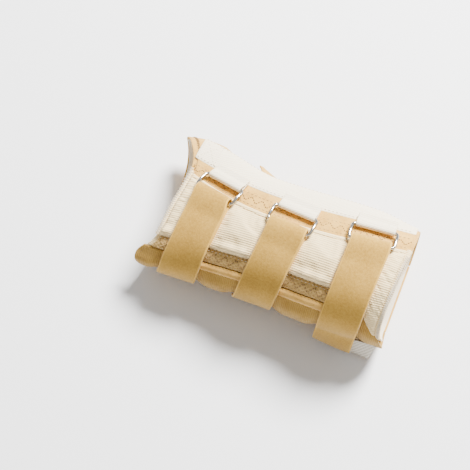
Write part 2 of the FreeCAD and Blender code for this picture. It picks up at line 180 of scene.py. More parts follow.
def walk(x, angle, distance):
    """The angle reached by going that many millimetres round the sleeve."""
    x, angle, distance = np.broadcast_arrays(*(np.asarray(k, float) for k in (x, angle, distance)))
    angle = angle.copy()
    for _ in range(24):
        ahead = np.linalg.norm(place(x, angle + 0.5, 0) - place(x, angle, 0), axis=-1)
        angle += 0.5 * distance / 24 / ahead
    return angle


def girth(x, first, last):
    """Millimetres round the sleeve from one angle to another."""
    steps = np.linspace(0, 1, 40)[:, None]
    line = place(x, first + (last - first) * steps, 0)
    return np.linalg.norm(np.diff(line, axis=0), axis=-1).sum(0)


def around_at(angle):
    """Millimetres round the sleeve at mid length, from the thumb side to that angle."""
    table = np.arange(-240.0, 251.0)
    line = place(0.0, table, 0)
    lengths = np.r_[0, np.cumsum(np.linalg.norm(np.diff(line, axis=0), axis=1))]
    return np.interp(angle, table, lengths)


def call(item, at):
    return item(at) if callable(item) else np.full_like(at, item)


def spread(u, v, ends, angles):
    """Where the share u along the arm and v round it falls between curved ends and borders."""
    x = np.zeros_like(u)
    for _ in range(8):
        low, high = call(angles[0], x), call(angles[1], x)
        angle = low + v * (high - low)
        first, last = call(ends[0], angle), call(ends[1], angle)
        x = first + u * (last - first)
    return x, angle


distal_edge = [
    (-235, -0.90), (-160, -0.90), (-60, -0.90), (2, -0.965), (30, -0.90), (62, -0.80), (100, -0.83),
    (131, -0.86), (163, -0.965), (200, -0.93), (235, -0.90)]
proximal_edge = [
    (-235, 1.0), (-60, 1.0), (20, 1.0), (63, 1.0), (131, 0.965), (160, 0.97), (198, 1.02), (235, 1.0)]


def distal(angle, inset=0.0):
    return half * through(np.where(angle < -118.01, angle + 360, angle), distal_edge) + inset


def proximal(angle, inset=0.0):
    return half * through(np.where(angle < -118.01, angle + 360, angle), proximal_edge) - inset


def skin(name, columns, rows, shape, chart, finish, thickness=None, rounding=1, body="splint",
         closed=False, flip=False):
    """A sheet made by wrapping a grid on shape(u, v). chart is its flat size, or gives the flat
    place of (u, v), in millimetres; its UV map holds that in metres."""
    bm = bmesh.new()
    uv_map = bm.loops.layers.uv.new("UVMap")
    bmesh.ops.create_grid(bm, x_segments=columns, y_segments=rows, size=0.5, calc_uvs=True)
    flat = np.array([v.co[:2] for v in bm.verts]) + 0.5
    for vert, point in zip(bm.verts, shape(flat[:, 0], flat[:, 1]) * MM):
        vert.co = point
    laid = np.stack(chart(flat[:, 0], flat[:, 1]) if callable(chart) else (flat * chart).T, -1) * MM
    bm.verts.index_update()
    for face in bm.faces:
        for loop in face.loops:
            loop[uv_map].uv = laid[loop.vert.index]
    if flip:
        bmesh.ops.reverse_faces(bm, faces=bm.faces)
    if closed:
        bmesh.ops.remove_doubles(bm, verts=bm.verts, dist=1e-6)
    return finished(name, bm, finish, thickness, rounding, body)


def cloth(name, ends, angles, lift, step, finish, thickness=None, rounding=1, body="splint", near=0.0):
    """A sheet of the sleeve between curved ends and borders. lift(x, angle, across) is the height
    of its outer face; across is the distance from its first border, in millimetres."""
    at_x = np.array([near])
    first, last = call(angles[0], at_x), call(angles[1], at_x)
    wide = float(girth(at_x, first, last)[0])
    middle = (first + last) / 2
    long = float((call(ends[1], middle) - call(ends[0], middle))[0])

    def shape(u, v):
        x, angle = spread(u, v, ends, angles)
        return place(x, angle, lift(x, angle, v * wide) if callable(lift) else lift)

    def chart(u, v):
        x, angle = spread(u, v, ends, angles)
        return x, around_at(angle)
    return skin(
        name, max(2, round(long / step[0])), max(2, round(wide / step[1])), shape, chart, finish,
        thickness, rounding, body, flip=True)


def finished(name, bm, finish, thickness=None, rounding=0, body="splint"):
    """Make the piece of a bmesh: smooth shading, thickness inwards, soft rim."""
    for face in bm.faces:
        face.smooth = True
    mesh = bpy.data.meshes.new(name)
    bm.to_mesh(mesh)
    bm.free()
    piece = bpy.data.objects.new(name, mesh)
    bpy.context.scene.collection.objects.link(piece)
    mesh.materials.append(finish)
    if thickness:
        shell = piece.modifiers.new("thickness", "SOLIDIFY")
        shell.thickness = thickness * MM
        shell.offset = -1
    if rounding:
        soft = piece.modifiers.new("soft_edges", "SUBSURF")
        soft.levels = rounding
        soft.render_levels = rounding
    if body:
        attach(piece, body)
    return piece


def shader(name, roughness, specular=0.3):
    """A new material with its nodes ready: returns the tree's add and link calls and the shader."""
    material = bpy.data.materials.new(name)
    material.use_nodes = True
    tree = material.node_tree
    surface = tree.nodes["Principled BSDF"]
    surface.inputs["Roughness"].default_value = roughness
    surface.inputs["Specular IOR Level"].default_value = specular

    def add(kind, **settings):
        node = tree.nodes.new(kind)
        for key, item in settings.items():
            if key in node.inputs:
                node.inputs[key].default_value = item
            else:
                setattr(node, key, item)
        return node
    return material, add, tree.links.new, surface


def noise(add, link, vector, scale, detail=3.0):
    node = add("ShaderNodeTexNoise", Scale=scale, Detail=detail)
    link(vector, node.inputs["Vector"])
    return node.outputs["Fac"]


def ramp(add, link, factor, stops):
    """A colour ramp: stops of (position, colour)."""
    node = add("ShaderNodeValToRGB")
    link(factor, node.inputs["Fac"])
    while len(node.color_ramp.elements) < len(stops):
        node.color_ramp.elements.new(0.5)
    for element, (position, colour) in zip(node.color_ramp.elements, stops):
        element.position = position
        element.color = (*colour, 1)
    return node.outputs["Color"]


def mixed(add, link, factor, first, second):
    """Mix two colours; each of factor, first and second is a socket or a fixed value."""
    node = add("ShaderNodeMix", data_type="RGBA")
    for socket, item in ((node.inputs[0], factor), (node.inputs[6], first), (node.inputs[7], second)):
        if isinstance(item, (int, float)):
            socket.default_value = item
        elif isinstance(item, tuple):
            socket.default_value = (*item, 1)
        else:
            link(item, socket)
    return node.outputs[2]


def sums(add, link, operation, *items):
    node = add("ShaderNodeMath", operation=operation)
    for socket, item in zip(node.inputs, items):
        if isinstance(item, (int, float)):
            socket.default_value = item
        else:
            link(item, socket)
    return node.outputs[0]


def weighted(add, link, *terms):
    """Add up sockets, each times its weight."""
    total = 0.0
    for socket, weight in terms:
        total = sums(add, link, "MULTIPLY_ADD", socket, weight, total)
    return total


def bands(add, link, vector, period, distortion, direction="X", finer=1.0):
    """Parallel cords, one every period millimetres of the flat piece."""
    node = add("ShaderNodeTexWave", Distortion=distortion, bands_direction=direction)
    node.inputs["Scale"].default_value = 0.314159 / (period * MM)
    node.inputs["Detail Scale"].default_value = finer
    link(vector, node.inputs["Vector"])
    return node.outputs["Fac"]


def bump(add, link, surface, height, strength, distance):
    node = add("ShaderNodeBump", Strength=strength, Distance=distance)
    link(height, node.inputs["Height"])
    link(node.outputs["Normal"], surface.inputs["Normal"])
    return node


def brushed_cotton(name, colour, darker):
    material, add, link, surface = shader(name, 0.95, 0.15)
    at = add("ShaderNodeTexCoord").outputs["Object"]
    fuzz = noise(add, link, at, 1800, 4)
    cloud = noise(add, link, at, 60, 2)
    tone = sums(add, link, "MULTIPLY_ADD", fuzz, 0.6)
    link(ramp(add, link, tone, [(0.15, darker), (0.6, colour)]), surface.inputs["Base Color"])
    bump(add, link, surface, sums(add, link, "ADD", fuzz, cloud), 0.5, 0.0004)
    surface.inputs["Sheen Weight"].default_value = 0.25
    return material


lining_cloth = brushed_cotton("soft_lining", (0.80, 0.70, 0.54), (0.62, 0.50, 0.36))
lining_lift = -panel_thickness - ply_gap - 0.05
hole_x, hole_angle, hole_long, hole_wide = -41.0, -29.0, 22.0, 15.0
hole_centre = place(hole_x, hole_angle, 0)
hole_out = place(hole_x, hole_angle, 1) - hole_centre
hole_side = np.cross(hole_out, (1, 0, 0))


def thumb_opening(bm, margin):
    """Cut the oval for the thumb out of a sheet, and draw its new edge onto the oval."""
    def across(vert):
        out = np.array(vert.co) / MM - hole_centre
        return out, math.hypot(out[0] / (hole_long + margin), out @ hole_side / (hole_wide + margin))

    inside = set()
    for vert in bm.verts:
        out, share = across(vert)
        if share < 1 and out @ hole_out > -25:
            inside.add(vert)
    bmesh.ops.delete(bm, geom=list(inside), context="VERTS")
    for vert in bm.verts:
        out, share = across(vert)
        if vert.is_boundary and share < 1.2 and out @ hole_out > -25:
            shift = np.array((1, 0, 0)) * out[0] + hole_side * (out @ hole_side)
            vert.co = Vector((np.array(vert.co) / MM - shift * (1 - 1 / share)) * MM)


def with_thumb_opening(piece, margin):
    bm = bmesh.new()
    bm.from_mesh(piece.data)
    thumb_opening(bm, margin)
    bm.to_mesh(piece.data)
    bm.free()
    return piece


lining_angles = (-231.0, 80.0)
inner_lining = with_thumb_opening(
    cloth(
        "inner_lining", (lambda a: distal(a, 1.2), lambda a: proximal(a, 1.2)), lining_angles,
        lining_lift, (2.4, 2.0), lining_cloth, 0.9), 1.2)
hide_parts("lining")


# ---- suede panels ----------------------------------------
# Three panels of tan split suede, die-cut and sewn edge to edge over the lining. The thumb-side one
# has the pointed lobe that goes through the thumb web, the little-finger one the rounded lobe.
def suede(name, light, mid, dark, ribs=0.0):
    """Split leather: a short mottled nap, a little darker where it is rubbed flat."""
    material, add, link, surface = shader(name, 0.9, 0.2)
    at = add("ShaderNodeTexCoord").outputs["Object"]
    fine = noise(add, link, at, 1500, 5)
    patches = noise(add, link, at, 120, 4)
    tone = weighted(add, link, (fine, 0.45), (patches, 0.6))
    height = fine
    if ribs:
        around = add("ShaderNodeTexWave", Scale=ribs, Distortion=1.2, Detail=2.0, bands_direction="X")
        link(at, around.inputs["Vector"])
        # The ribs also darken the colour in their valleys: painted shade.
        tone = weighted(add, link, (tone, 1.0), (around.outputs["Fac"], 0.16))
        height = sums(add, link, "ADD", fine, around.outputs["Fac"])
    colours = ramp(add, link, tone, [(0.32, dark), (0.52, mid), (0.74, light)])
    link(colours, surface.inputs["Base Color"])
    bump(add, link, surface, height, 0.55, 0.0003)
    surface.inputs["Sheen Weight"].default_value = 0.35
    surface.inputs["Sheen Roughness"].default_value = 0.5
    surface.inputs["Sheen Tint"].default_value = (1.0, 0.88, 0.7, 1)
    return material


tan_suede = suede("tan_suede", (0.76, 0.46, 0.115), (0.64, 0.36, 0.075), (0.42, 0.21, 0.036))
brushed_suede = suede(
    "brushed_suede", (0.46, 0.27, 0.050), (0.37, 0.205, 0.034), (0.25, 0.13, 0.020), 260.0)


def creases(x, angle, depth, seed):
    """Shallow soft waves, the same every time: the sum of a few crossing ripples."""
    rng = np.random.default_rng(seed)
    total = np.zeros_like(x)
    for _ in range(9):
        along, round_it = rng.uniform(-0.10, 0.10), rng.uniform(-0.16, 0.16)
        total += np.sin(along * x + round_it * angle + rng.uniform(0, 6.3))
    return depth * total / 4


strap_width, strap_thickness, ring_depth = 25.0, 1.3, 12.0
straps = [
    {"x": -43.6, "y": 6.0, "turn": -15.0, "lean": -6.9},
    {"x": 7.2, "y": -0.6, "turn": -6.0, "lean": -7.6},
    {"x": 57.2, "y": 5.4, "turn": 3.5, "lean": -3.2},
]


def angle_at(x, y):
    """The angle over the back at which the sleeve stands at that height across the arm."""
    radial, ulnar = section(x)[:2]
    return np.degrees(np.arccos(np.clip(y / np.where(y > 0, radial, ulnar), -1, 1)))


def bar_angle(strap, x):
    """Where a strap's line over its ring's outer bar stands, at each station."""
    return angle_at(x, strap["y"] + (x - strap["x"]) * math.tan(math.radians(strap["turn"])))


def strap_start(strap, distance=1.8):
    """The line that far on the little-finger side of the ring's outer bar."""
    return lambda x: walk(x, bar_angle(strap, x), distance / math.cos(math.radians(strap["turn"])))


def strap_middle(strap, angle):
    """Where the middle of a strap runs: it leans towards the fingers as it goes round."""
    first = float(strap_start(strap)(np.array([strap["x"]]))[0])
    return strap["x"] + strap["lean"] * (angle - first) / (180 - first)


def smooth(t):
    t = np.clip(t, 0, 1)
    return t * t * (3 - 2 * t)


def beside_straps(x, angle):
    """How far a point is from the nearest strap's edge, negative under a strap."""
    return np.min([np.abs(x - strap_middle(s, angle)) - strap_width / 2 for s in straps], 0)


def thumb_side_lift(x, a, across):
    """The panel swells where it turns over the root of the thumb."""
    swell = 5.6 * np.exp(-((x + 31) / 15) ** 2 - ((a - 3) / 11) ** 2)
    return panel_top - 0.1 + creases(x, a, 0.12, 1) + swell


thumb_side = with_thumb_opening(
    cloth(
        "thumb_side_panel", (distal, proximal), (-62.2, 82.0), thumb_side_lift, (1.6, 1.6),
        tan_suede, 1.2), 1.2)
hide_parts("radial_panel")
palm_side = cloth(
    "palm_panel", (distal, proximal), (-118.2, -62.4), panel_top - 0.1, (2.4, 2.4), tan_suede, 1.2)
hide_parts("palmar_panel")
ulnar_proximal = [(146, 0.80), (158, 0.90), (172, 0.975), (185, 1.005), (198, 1.02), (242, 1.0)]


def little_finger_lift(x, a, across):
    """The panel swells between the straps and is pressed flat under them."""
    swell = 2.6 * smooth((beside_straps(x, a) + 1) / 9) * smooth((a - 157) / 18) * smooth((230 - a) / 20)
    return panel_top - 0.1 + creases(x, a, 0.2, 3) + swell


little_finger_side = cloth(
    "little_finger_panel", (distal, lambda a: half * through(a, ulnar_proximal)), (146.0, 241.6),
    little_finger_lift, (1.6, 1.6), brushed_suede, 1.2)
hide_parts("ulnar_panel")


# ---- tongue and elastic panel ----------------------------
# Cream ribbed elastic. A flat tongue of it backs the opening; the panel over it is sewn to the
# little-finger side and puffs up a little between the straps, with a soft roll at its lower seam.
rib = 1.25


def elastic(name, light, shade):
    """Ribbed knit: fine cords along the arm with painted shade in their valleys, and a small cross stitch.
    """
    material, add, link, surface = shader(name, 0.92, 0.15)
    coordinates = add("ShaderNodeTexCoord")
    cords = bands(add, link, coordinates.outputs["UV"], rib, 0.6, "Y", 2.0)
    cross = bands(add, link, coordinates.outputs["UV"], 0.8, 1.5)
    fuzz = noise(add, link, coordinates.outputs["Object"], 1600, 4)
    cloud = noise(add, link, coordinates.outputs["Object"], 45, 2)
    knit = weighted(add, link, (cords, 1.0), (cross, 0.35))
    # The knit pattern darkens the colour in its valleys: painted shade. The fuzz and cloud vary the tone
    # at random.
    tone = weighted(add, link, (knit, 0.35), (fuzz, 0.3), (cloud, 0.25))
    link(ramp(add, link, tone, [(0.22, shade), (0.62, light)]), surface.inputs["Base Color"])
    bump(add, link, surface, sums(add, link, "ADD", knit, fuzz), 0.6, 0.00025)
    surface.inputs["Sheen Weight"].default_value = 0.2
    return material


cream_elastic = elastic("ribbed_elastic", (0.98, 0.79, 0.44), (0.76, 0.50, 0.20))
tongue = cloth(
    "tongue_flap", (lambda a: distal(a, 1.0), lambda a: proximal(a, 1.0)), (83.0, 145.2), -0.05,
    (2.4, 1.6), cream_elastic, 1.2)
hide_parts("tongue")


def border(x, middle_y, distal_rise, proximal_rise):
    along = (x - 5.0) / half
    return middle_y + np.where(along < 0, distal_rise, proximal_rise) * along**2


def hem_angle(x):
    return angle_at(x, border(x, 4.0, 22.9, 8.0))


def tape_angle(x):
    return angle_at(x, border(x, 18.0, 17.5, 8.0))


hem_width, hem_top, panel_face = 3.2, 1.72, 1.42
lower_border = [(0.74, 129.3), (0.84, 152.0), (0.97, 172.0)]


def settled_puff():
    """How far the elastic puffs up between its sewn borders and the straps that hold it down: a
    slightly oversize sheet, pinned there, is left to settle under a light pressure from within."""
    columns, rows, scale = 84, 30, 0.01
    bm = bmesh.new()
    bmesh.ops.create_grid(bm, x_segments=columns, y_segments=rows, size=0.5)
    bmesh.ops.reverse_faces(bm, faces=bm.faces)
    flat = np.array([v.co[:2] for v in bm.verts]) + 0.5
    ends = (lambda a: distal(a, hem_width), lambda a: proximal(a, hem_width))
    borders = (lambda x: walk(x, hem_angle(x), hem_width), lambda x: through(x / half, lower_border))
    x, angle = spread(flat[:, 0], flat[:, 1], ends, borders)
    start = place(x, angle, panel_face) * scale
    for vert, point in zip(bm.verts, start):
        vert.co = point
    mesh = bpy.data.meshes.new("settling_elastic")
    bm.to_mesh(mesh)
    bm.free()
    sheet = bpy.data.objects.new("settling_elastic", mesh)
    bpy.context.scene.collection.objects.link(sheet)
    held = (np.abs(flat - 0.5).max(1) > 0.499) | (beside_straps(x, angle) < 0.5)
    pins = sheet.vertex_groups.new(name="sewn_down")
    pins.add([int(i) for i in np.nonzero(held)[0]], 1.0, "REPLACE")
    solver = sheet.modifiers.new("settle", "CLOTH")
    solver.settings.quality = 8
    solver.settings.vertex_group_mass = "sewn_down"
    solver.settings.mass = 0.2
    solver.settings.tension_stiffness = 20
    solver.settings.compression_stiffness = 20
    solver.settings.bending_stiffness = 0.6
    solver.settings.shrink_min = -0.05
    solver.settings.use_pressure = True
    solver.settings.uniform_pressure_force = 1.2
    solver.settings.effector_weights.gravity = 0
    solver.collision_settings.use_collision = False
    for moment in range(1, 26):
        bpy.context.scene.frame_set(moment)
    moved = sheet.evaluated_get(bpy.context.evaluated_depsgraph_get()).to_mesh()
    ended = np.array([v.co for v in moved.vertices])
    bpy.data.objects.remove(sheet)
    bpy.context.scene.frame_set(1)
    outward = place(x, angle, panel_face + 1) - place(x, angle, panel_face)
    rise = np.clip(((ended - start) * outward).sum(1) / scale, -0.4, 3.2)
    grid = np.zeros((columns + 1, rows + 1))
    grid[np.rint(flat[:, 0] * columns).astype(int), np.rint(flat[:, 1] * rows).astype(int)] = rise

    def rise_at(u, v):
        i, j = np.clip(u, 0, 0.9999) * columns, np.clip(v, 0, 0.9999) * rows
        a, b = i.astype(int), j.astype(int)
        s, t = smooth(i - a), smooth(j - b)
        low = grid[a, b] * (1 - s) + grid[a + 1, b] * s
        high = grid[a, b + 1] * (1 - s) + grid[a + 1, b + 1] * s
        return low * (1 - t) + high * t
    return rise_at


settled = settled_puff()


def elastic_lift(x, angle, across):
    """The panel's face, less its border: the settled puff, the roll at the seam and the ribs."""
    lower = through(x / half, lower_border)
    to_seam = (lower - angle) * 0.62
    free = smooth((beside_straps(x, angle) + 1.5) / 9)
    if settled:
        upper = walk(x, hem_angle(x), hem_width)
        along = (x - distal(angle, hem_width)) / (proximal(angle, hem_width) - distal(angle, hem_width))
        puff = settled(along, (angle - upper) / (lower - upper))
    else:
        puff = 1.3 * free * smooth(across / 8) * smooth(to_seam / 5)
    roll = 2.2 * np.exp(-((to_seam - 3.2) / 2.5) ** 2) * (0.15 + 0.85 * free)
    roll *= smooth((0.76 - x / half) / 0.06)
    edge = -1.0 * (1 - smooth(to_seam / 1.8))
    cords = 0.14 * np.sin(2 * math.pi * around_at(angle) / rib)
    gathers = 0.22 * free * np.sin(x * 0.9 + 3 * np.sin(angle * 0.07)) * np.exp(-((to_seam - 4) / 6) ** 2)
    return panel_face + puff + roll + edge + cords + gathers + creases(x, angle, 0.14, 5) * free


elastic_panel = cloth(
    "elastic_panel", (lambda a: distal(a, hem_width - 0.4), lambda a: proximal(a, hem_width - 0.4)),
    (lambda x: walk(x, hem_angle(x), hem_width - 0.3), lambda x: through(x / half, lower_border)),
    elastic_lift, (1.5, rib / 4), cream_elastic, 1.1, 0)
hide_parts("dorsal_panel")


# ---- hems of the elastic panel ---------------------------
# The elastic is turned under along its free edge and across both ends. The cuff end is
# overlocked, which leaves a scalloped, slightly frilled edge.
def hem_lift(width, top=hem_top):
    """A turned edge: a low roll, falling to both sides."""
    return lambda x, a, across: top - 0.75 * np.abs(2 * across / width - 1) ** 3 + creases(x, a, 0.06, 8)


free_hem = cloth(
    "free_edge_hem", (lambda a: distal(a, hem_width - 0.2), lambda a: proximal(a, hem_width - 0.2)),
    (hem_angle, lambda x: walk(x, hem_angle(x), hem_width - 0.1)), hem_lift(hem_width), (1.2, 0.4),
    cream_elastic, 1.2)
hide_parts("dorsal_hem")


def end_roll(edge, direction, first, last, name, frill):
    """The turned hem across one end of the panel, its free edge frilled a little."""
    def outer(a):
        return edge(a) - direction * frill * np.abs(np.sin(a * 1.35))

    def inner(a):
        return edge(a) + direction * (hem_width + 0.2)

    def lift(x, a, across):
        share = np.clip((x - edge(a)) * direction / hem_width, 0, 1)
        return hem_top - 0.9 * np.abs(2 * share - 1) ** 3 + 0.10 * np.sin(a * 2.7)
    ends = (outer, inner) if direction > 0 else (inner, outer)
    near = float(edge(np.array([100.0]))[0])
    return cloth(name, ends, (first, last), lift, (0.5, 0.35), cream_elastic, 1.3, 1, near=near)


finger_hem = end_roll(
    distal, 1, float(hem_angle(distal(np.array([62.0])))[0]), 129.6, "finger_end_hem", 0.25)
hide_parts("distal_hem")
cuff_hem = end_roll(proximal, -1, float(hem_angle(np.array([half]))[0]), 172.0, "cuff_hem", 0.5)
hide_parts("proximal_hem")


# ---- sewing thread ---------------------------------------
# Every seam is sewn: straight runs in cream or tan thread, and a bold dark zigzag that holds the
# elastic and the suede bands edge to edge.
def thread(name, colour):
    material, add, link, surface = shader(name, 0.7, 0.3)
    at = add("ShaderNodeTexCoord").outputs["Object"]
    twist = noise(add, link, at, 2500, 2)
    low = tuple(c * 0.65 for c in colour)
    link(ramp(add, link, twist, [(0.35, low), (0.65, colour)]), surface.inputs["Base Color"])
    return material


cream_thread = thread("cream_thread", (0.88, 0.76, 0.58))
tan_thread = thread("tan_thread", (0.55, 0.38, 0.18))
dark_thread = thread("dark_thread", (0.22, 0.13, 0.055))
brown_thread = thread("brown_thread", (0.34, 0.20, 0.07))


def seam(name, x, angle, lift, finish, slot, dashes=True, width=0.36, body="splint"):
    """Stitches between needle holes given in order: every other gap for a running stitch, every
    gap for a zigzag."""
    holes = [Vector(p) * MM for p in place(x, angle, lift)]
    step = 2 if dashes else 1
    bm = bmesh.new()
    for first, last in list(zip(holes, holes[1:]))[::step]:
        turn = (last - first).to_track_quat("X", "Z").to_matrix().to_4x4()
        size = Matrix.Diagonal(((last - first).length * 1.15, width * MM, width * MM, 1))
        bmesh.ops.create_uvsphere(
            bm, u_segments=6, v_segments=4, radius=0.5,
            matrix=Matrix.Translation((first + last) / 2) @ turn @ size)
    piece = finished(name, bm, finish, body=body)
    return piece


def run_along(first, last, pitch, angle, swing=0.0):
    """Needle holes along the arm at angle(x), swinging to both sides for a zigzag."""
    x = np.arange(first, last, pitch)
    side = np.where(np.arange(len(x)) % 2, swing, -swing)
    return x, walk(x, call(angle, x), side)


def run_stepped(first, last, angle, swing):
    """Needle holes of a three-step zigzag: three short stitches up each leg and three down."""
    legs = np.arange(first, last, 3.6)
    x = (legs[:, None] + np.array([0.0, 0.75, 1.2, 1.95, 2.4, 3.15])[None, :]).ravel()
    side = np.where(np.arange(len(legs)) % 2, -1, 1)[:, None]
    side = side * np.array([-1.0, -0.58, -0.33, 0.25, 0.5, 1.0])
    return x, walk(x, call(angle, x), swing * side.ravel())


def run_round(first, last, pitch, x, swing=0.0):
    """Needle holes round the arm from one angle to another, at x(angle)."""
    angle = np.arange(first, last, pitch)
    side = np.where(np.arange(len(angle)) % 2, swing, -swing)
    return call(x, angle) + side, angle


# ---- seam bands ------------------------------------------
# Between the ring tape and the elastic lies a strip of tan suede; below the elastic a strip of
# braid covers the join to the little-finger panel, then a stitched channel for a spring-steel stay.
band_top = 0.85
thumb_band = cloth(
    "thumb_side_band", (lambda a: distal(a, 3.0), lambda a: proximal(a, 1.0)),
    (lambda x: walk(x, tape_angle(x), -1.0), lambda x: walk(x, hem_angle(x), 0.3)),
    lambda x, a, across: band_top + creases(x, a, 0.07, 11), (1.6, 1.2), tan_suede, 0.7)
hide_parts("radial_seam_band")


def band_middle(share):
    return lambda x: tape_angle(x) + (hem_angle(x) - tape_angle(x)) * share


# Drawn wide in dark brown thread, the zigzag is partly the stitch and partly painted shade in its
# needle-hole dimples.
seam("thumb_band_zigzag", *run_stepped(-64, 79, band_middle(0.62), 1.7), band_top + 0.02,
     brown_thread, "tan_suede", True, 0.75)
for name, share in (("upper", 0.36), ("lower", 0.88)):
    seam("thumb_band_stitches_" + name, *run_along(-64, 79, 1.3, band_middle(share)), band_top + 0.1,
         tan_thread, "tan_suede")


def braid(name):
    """Flat plaited braid: two crossing diagonals of cord, with painted shade between the cords."""
    material, add, link, surface = shader(name, 0.85, 0.25)
    at = add("ShaderNodeTexCoord").outputs["UV"]
    heights = []
    for turn in (0.9, -0.9):
        lean = add("ShaderNodeMapping", vector_type="TEXTURE")
        lean.inputs["Rotation"].default_value = (0, 0, turn)
        link(at, lean.inputs["Vector"])
        heights.append(bands(add, link, lean.outputs["Vector"], 1.9, 0.3))
    plait = sums(add, link, "MAXIMUM", *heights)
    fuzz = noise(add, link, add("ShaderNodeTexCoord").outputs["Object"], 1500, 4)
    # The plait darkens the colour in the grooves between cords: painted shade. The fuzz varies the tone at
    # random.
    tone = weighted(add, link, (plait, 0.5), (fuzz, 0.5))
    stops = [(0.3, (0.44, 0.27, 0.085)), (0.55, (0.56, 0.35, 0.115)), (0.8, (0.63, 0.41, 0.14))]
    link(ramp(add, link, tone, stops), surface.inputs["Base Color"])
    bump(add, link, surface, sums(add, link, "ADD", plait, fuzz), 0.7, 0.0003)
    return material


tan_braid = braid("stitched_braid")
ulnar_band = cloth(
    "little_finger_side_braid", (lambda a: distal(a, 4.0), 58.0), (130.5, 145.0),
    lambda x, a, across: band_top - 0.25 + 0.25 * np.cos((a - 137.8) * 0.35)
    + 0.05 * np.sin(2 * math.pi * x / 1.9), (0.5, 0.7), tan_braid, 0.7, 0)
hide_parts("ulnar_seam_band")
# Drawn wide in dark brown thread, the zigzag is partly the stitch and partly painted shade along the
# braid's stitched groove.
seam("braid_zigzag", *run_stepped(-66, 57.5, 137.4, 2.1), band_top, brown_thread, "stitched_braid",
     True, 0.95)
for name, angle, finish in (("upper", 131.8, cream_thread), ("lower", 143.7, tan_thread)):
    seam("braid_stitches_" + name, *run_along(-66, 57.5, 1.2, angle), band_top, finish, "stitched_braid")

channel = cloth(
    "stay_channel", (-62.0, 58.0), (146.2, 157.0),
    lambda x, a, across: 0.7 + 1.25 * smooth(1.35 - np.abs(a - 151.6) / 4.2)
    * smooth((x + 62.5) / 3) * smooth((58.5 - x) / 3) + creases(x, a, 0.05, 13), (1.2, 0.5),
    tan_suede, 0.7)
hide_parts("ulnar_stay_channel")
for name, angle in (("upper", 147.2), ("lower", 156.0)):
    seam("channel_stitches_" + name, *run_along(-61, 57.5, 1.2, angle), 0.92, dark_thread, "tan_suede")


# ---- stitching of hems and lobes -------------------------
# A fine line holds each hem down, cream overlocking wraps both ends of the elastic, and the two
# suede lobes are edge-stitched.
def inside_hem(x):
    return walk(x, hem_angle(x), hem_width - 0.6)


# The hem line is sewn in dark brown thread: partly the stitch, partly painted shade in the groove along
# the hem's edge.
seam("hem_stitches", *run_along(-60, 77, 1.3, inside_hem), hem_top - 0.25, brown_thread,
     "ribbed_elastic", True, 0.3)
seam("elastic_seam_stitches", *run_along(-66, 58, 1.2, 129.6), 0.75, brown_thread, "ribbed_elastic",
     True, 0.4)
for name, edge, first, last in (("finger", distal, 64.0, 129.0), ("cuff", proximal, 80.0, 170.0)):
    wraps = run_round(first, last, 1.05, lambda a, e=edge: e(a, 1.0), 1.35)
    seam(name + "_overlock", *wraps, hem_top - 0.05, cream_thread, "ribbed_elastic", False, 0.55)
    line = run_round(first, last, 1.6, lambda a, e=edge: e(a, 2.9))
    seam(name + "_overlock_line", *line, hem_top - 0.35, brown_thread, "ribbed_elastic", True, 0.3)
seam("thumb_web_zigzag", *run_round(6.0, 62.0, 1.7, lambda a: distal(a, 4.6), 1.1), 0.05,
     brown_thread, "tan_suede", False, 0.5)
seam("little_finger_lobe_stitches", *run_round(147.0, 205.0, 1.6, lambda a: distal(a, 3.0)), 0.35,
     dark_thread, "brushed_suede", True, 0.4)


# ---- ring tape -------------------------------------------
# White twill webbing along the thumb side of the opening. It carries the three ring tabs and is
# sewn down along both edges, with a stitched box at the finger end.
def webbing(name, light, shade, thread_width=0.7):
    material, add, link, surface = shader(name, 0.85, 0.25)
    coordinates = add("ShaderNodeTexCoord")
    lean = add("ShaderNodeMapping", vector_type="TEXTURE")
    lean.inputs["Rotation"].default_value = (0, 0, 0.75)
    link(coordinates.outputs["UV"], lean.inputs["Vector"])
    twill = bands(add, link, lean.outputs["Vector"], thread_width * 2, 0.4)
    weft = bands(add, link, coordinates.outputs["UV"], thread_width, 0.4)
    weave = weighted(add, link, (twill, 1.0), (weft, 0.5))
    fuzz = noise(add, link, coordinates.outputs["Object"], 1800, 4)
    # The weave darkens the colour in its grooves: painted shade. The fuzz varies the tone at random.
    tone = weighted(add, link, (weave, 0.3), (fuzz, 0.4))
    link(ramp(add, link, tone, [(0.2, shade), (0.55, light)]), surface.inputs["Base Color"])
    bump(add, link, surface, sums(add, link, "ADD", weave, fuzz), 0.5, 0.0002)
    return material


white_webbing = webbing("white_webbing", (0.99, 0.90, 0.70), (0.84, 0.68, 0.43))
tape_width, tape_top = 22.0, 1.32
tape = cloth(
    "white_tape", (-66.0, lambda a: proximal(a, 2.0)),
    (lambda x: walk(x, tape_angle(x), -tape_width), tape_angle),
    lambda x, a, across: tape_top - 0.35 * np.abs(2 * across / tape_width - 1) ** 10
    + creases(x, a, 0.09, 17), (1.4, 0.8), white_webbing, 1.2)
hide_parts("ring_tape")
stitch_inset, box_end, box_inner = 1.6, -64.4, -52.0
for name, inset in (("lower", -stitch_inset), ("upper", stitch_inset - tape_width)):
    holes = run_along(-64.5, 78, 1.25, lambda x, d=inset: walk(x, tape_angle(x), d))
    seam("tape_stitches_" + name, *holes, tape_top + 0.1, cream_thread, "white_webbing")
straight = np.arange(stitch_inset, tape_width - 1.5, 1.25)
slanted = np.linspace(stitch_inset, tape_width - stitch_inset, 18)
for name, across, first, last in (
        ("end", straight, box_end, box_end), ("inner", straight, box_inner, box_inner),
        ("rising", slanted, box_end, box_inner), ("falling", slanted, box_inner, box_end)):
    x = np.linspace(first, last, len(across))
    seam("tape_box_" + name, x, walk(x, tape_angle(x), -across), tape_top + 0.1, cream_thread,
         "white_webbing")


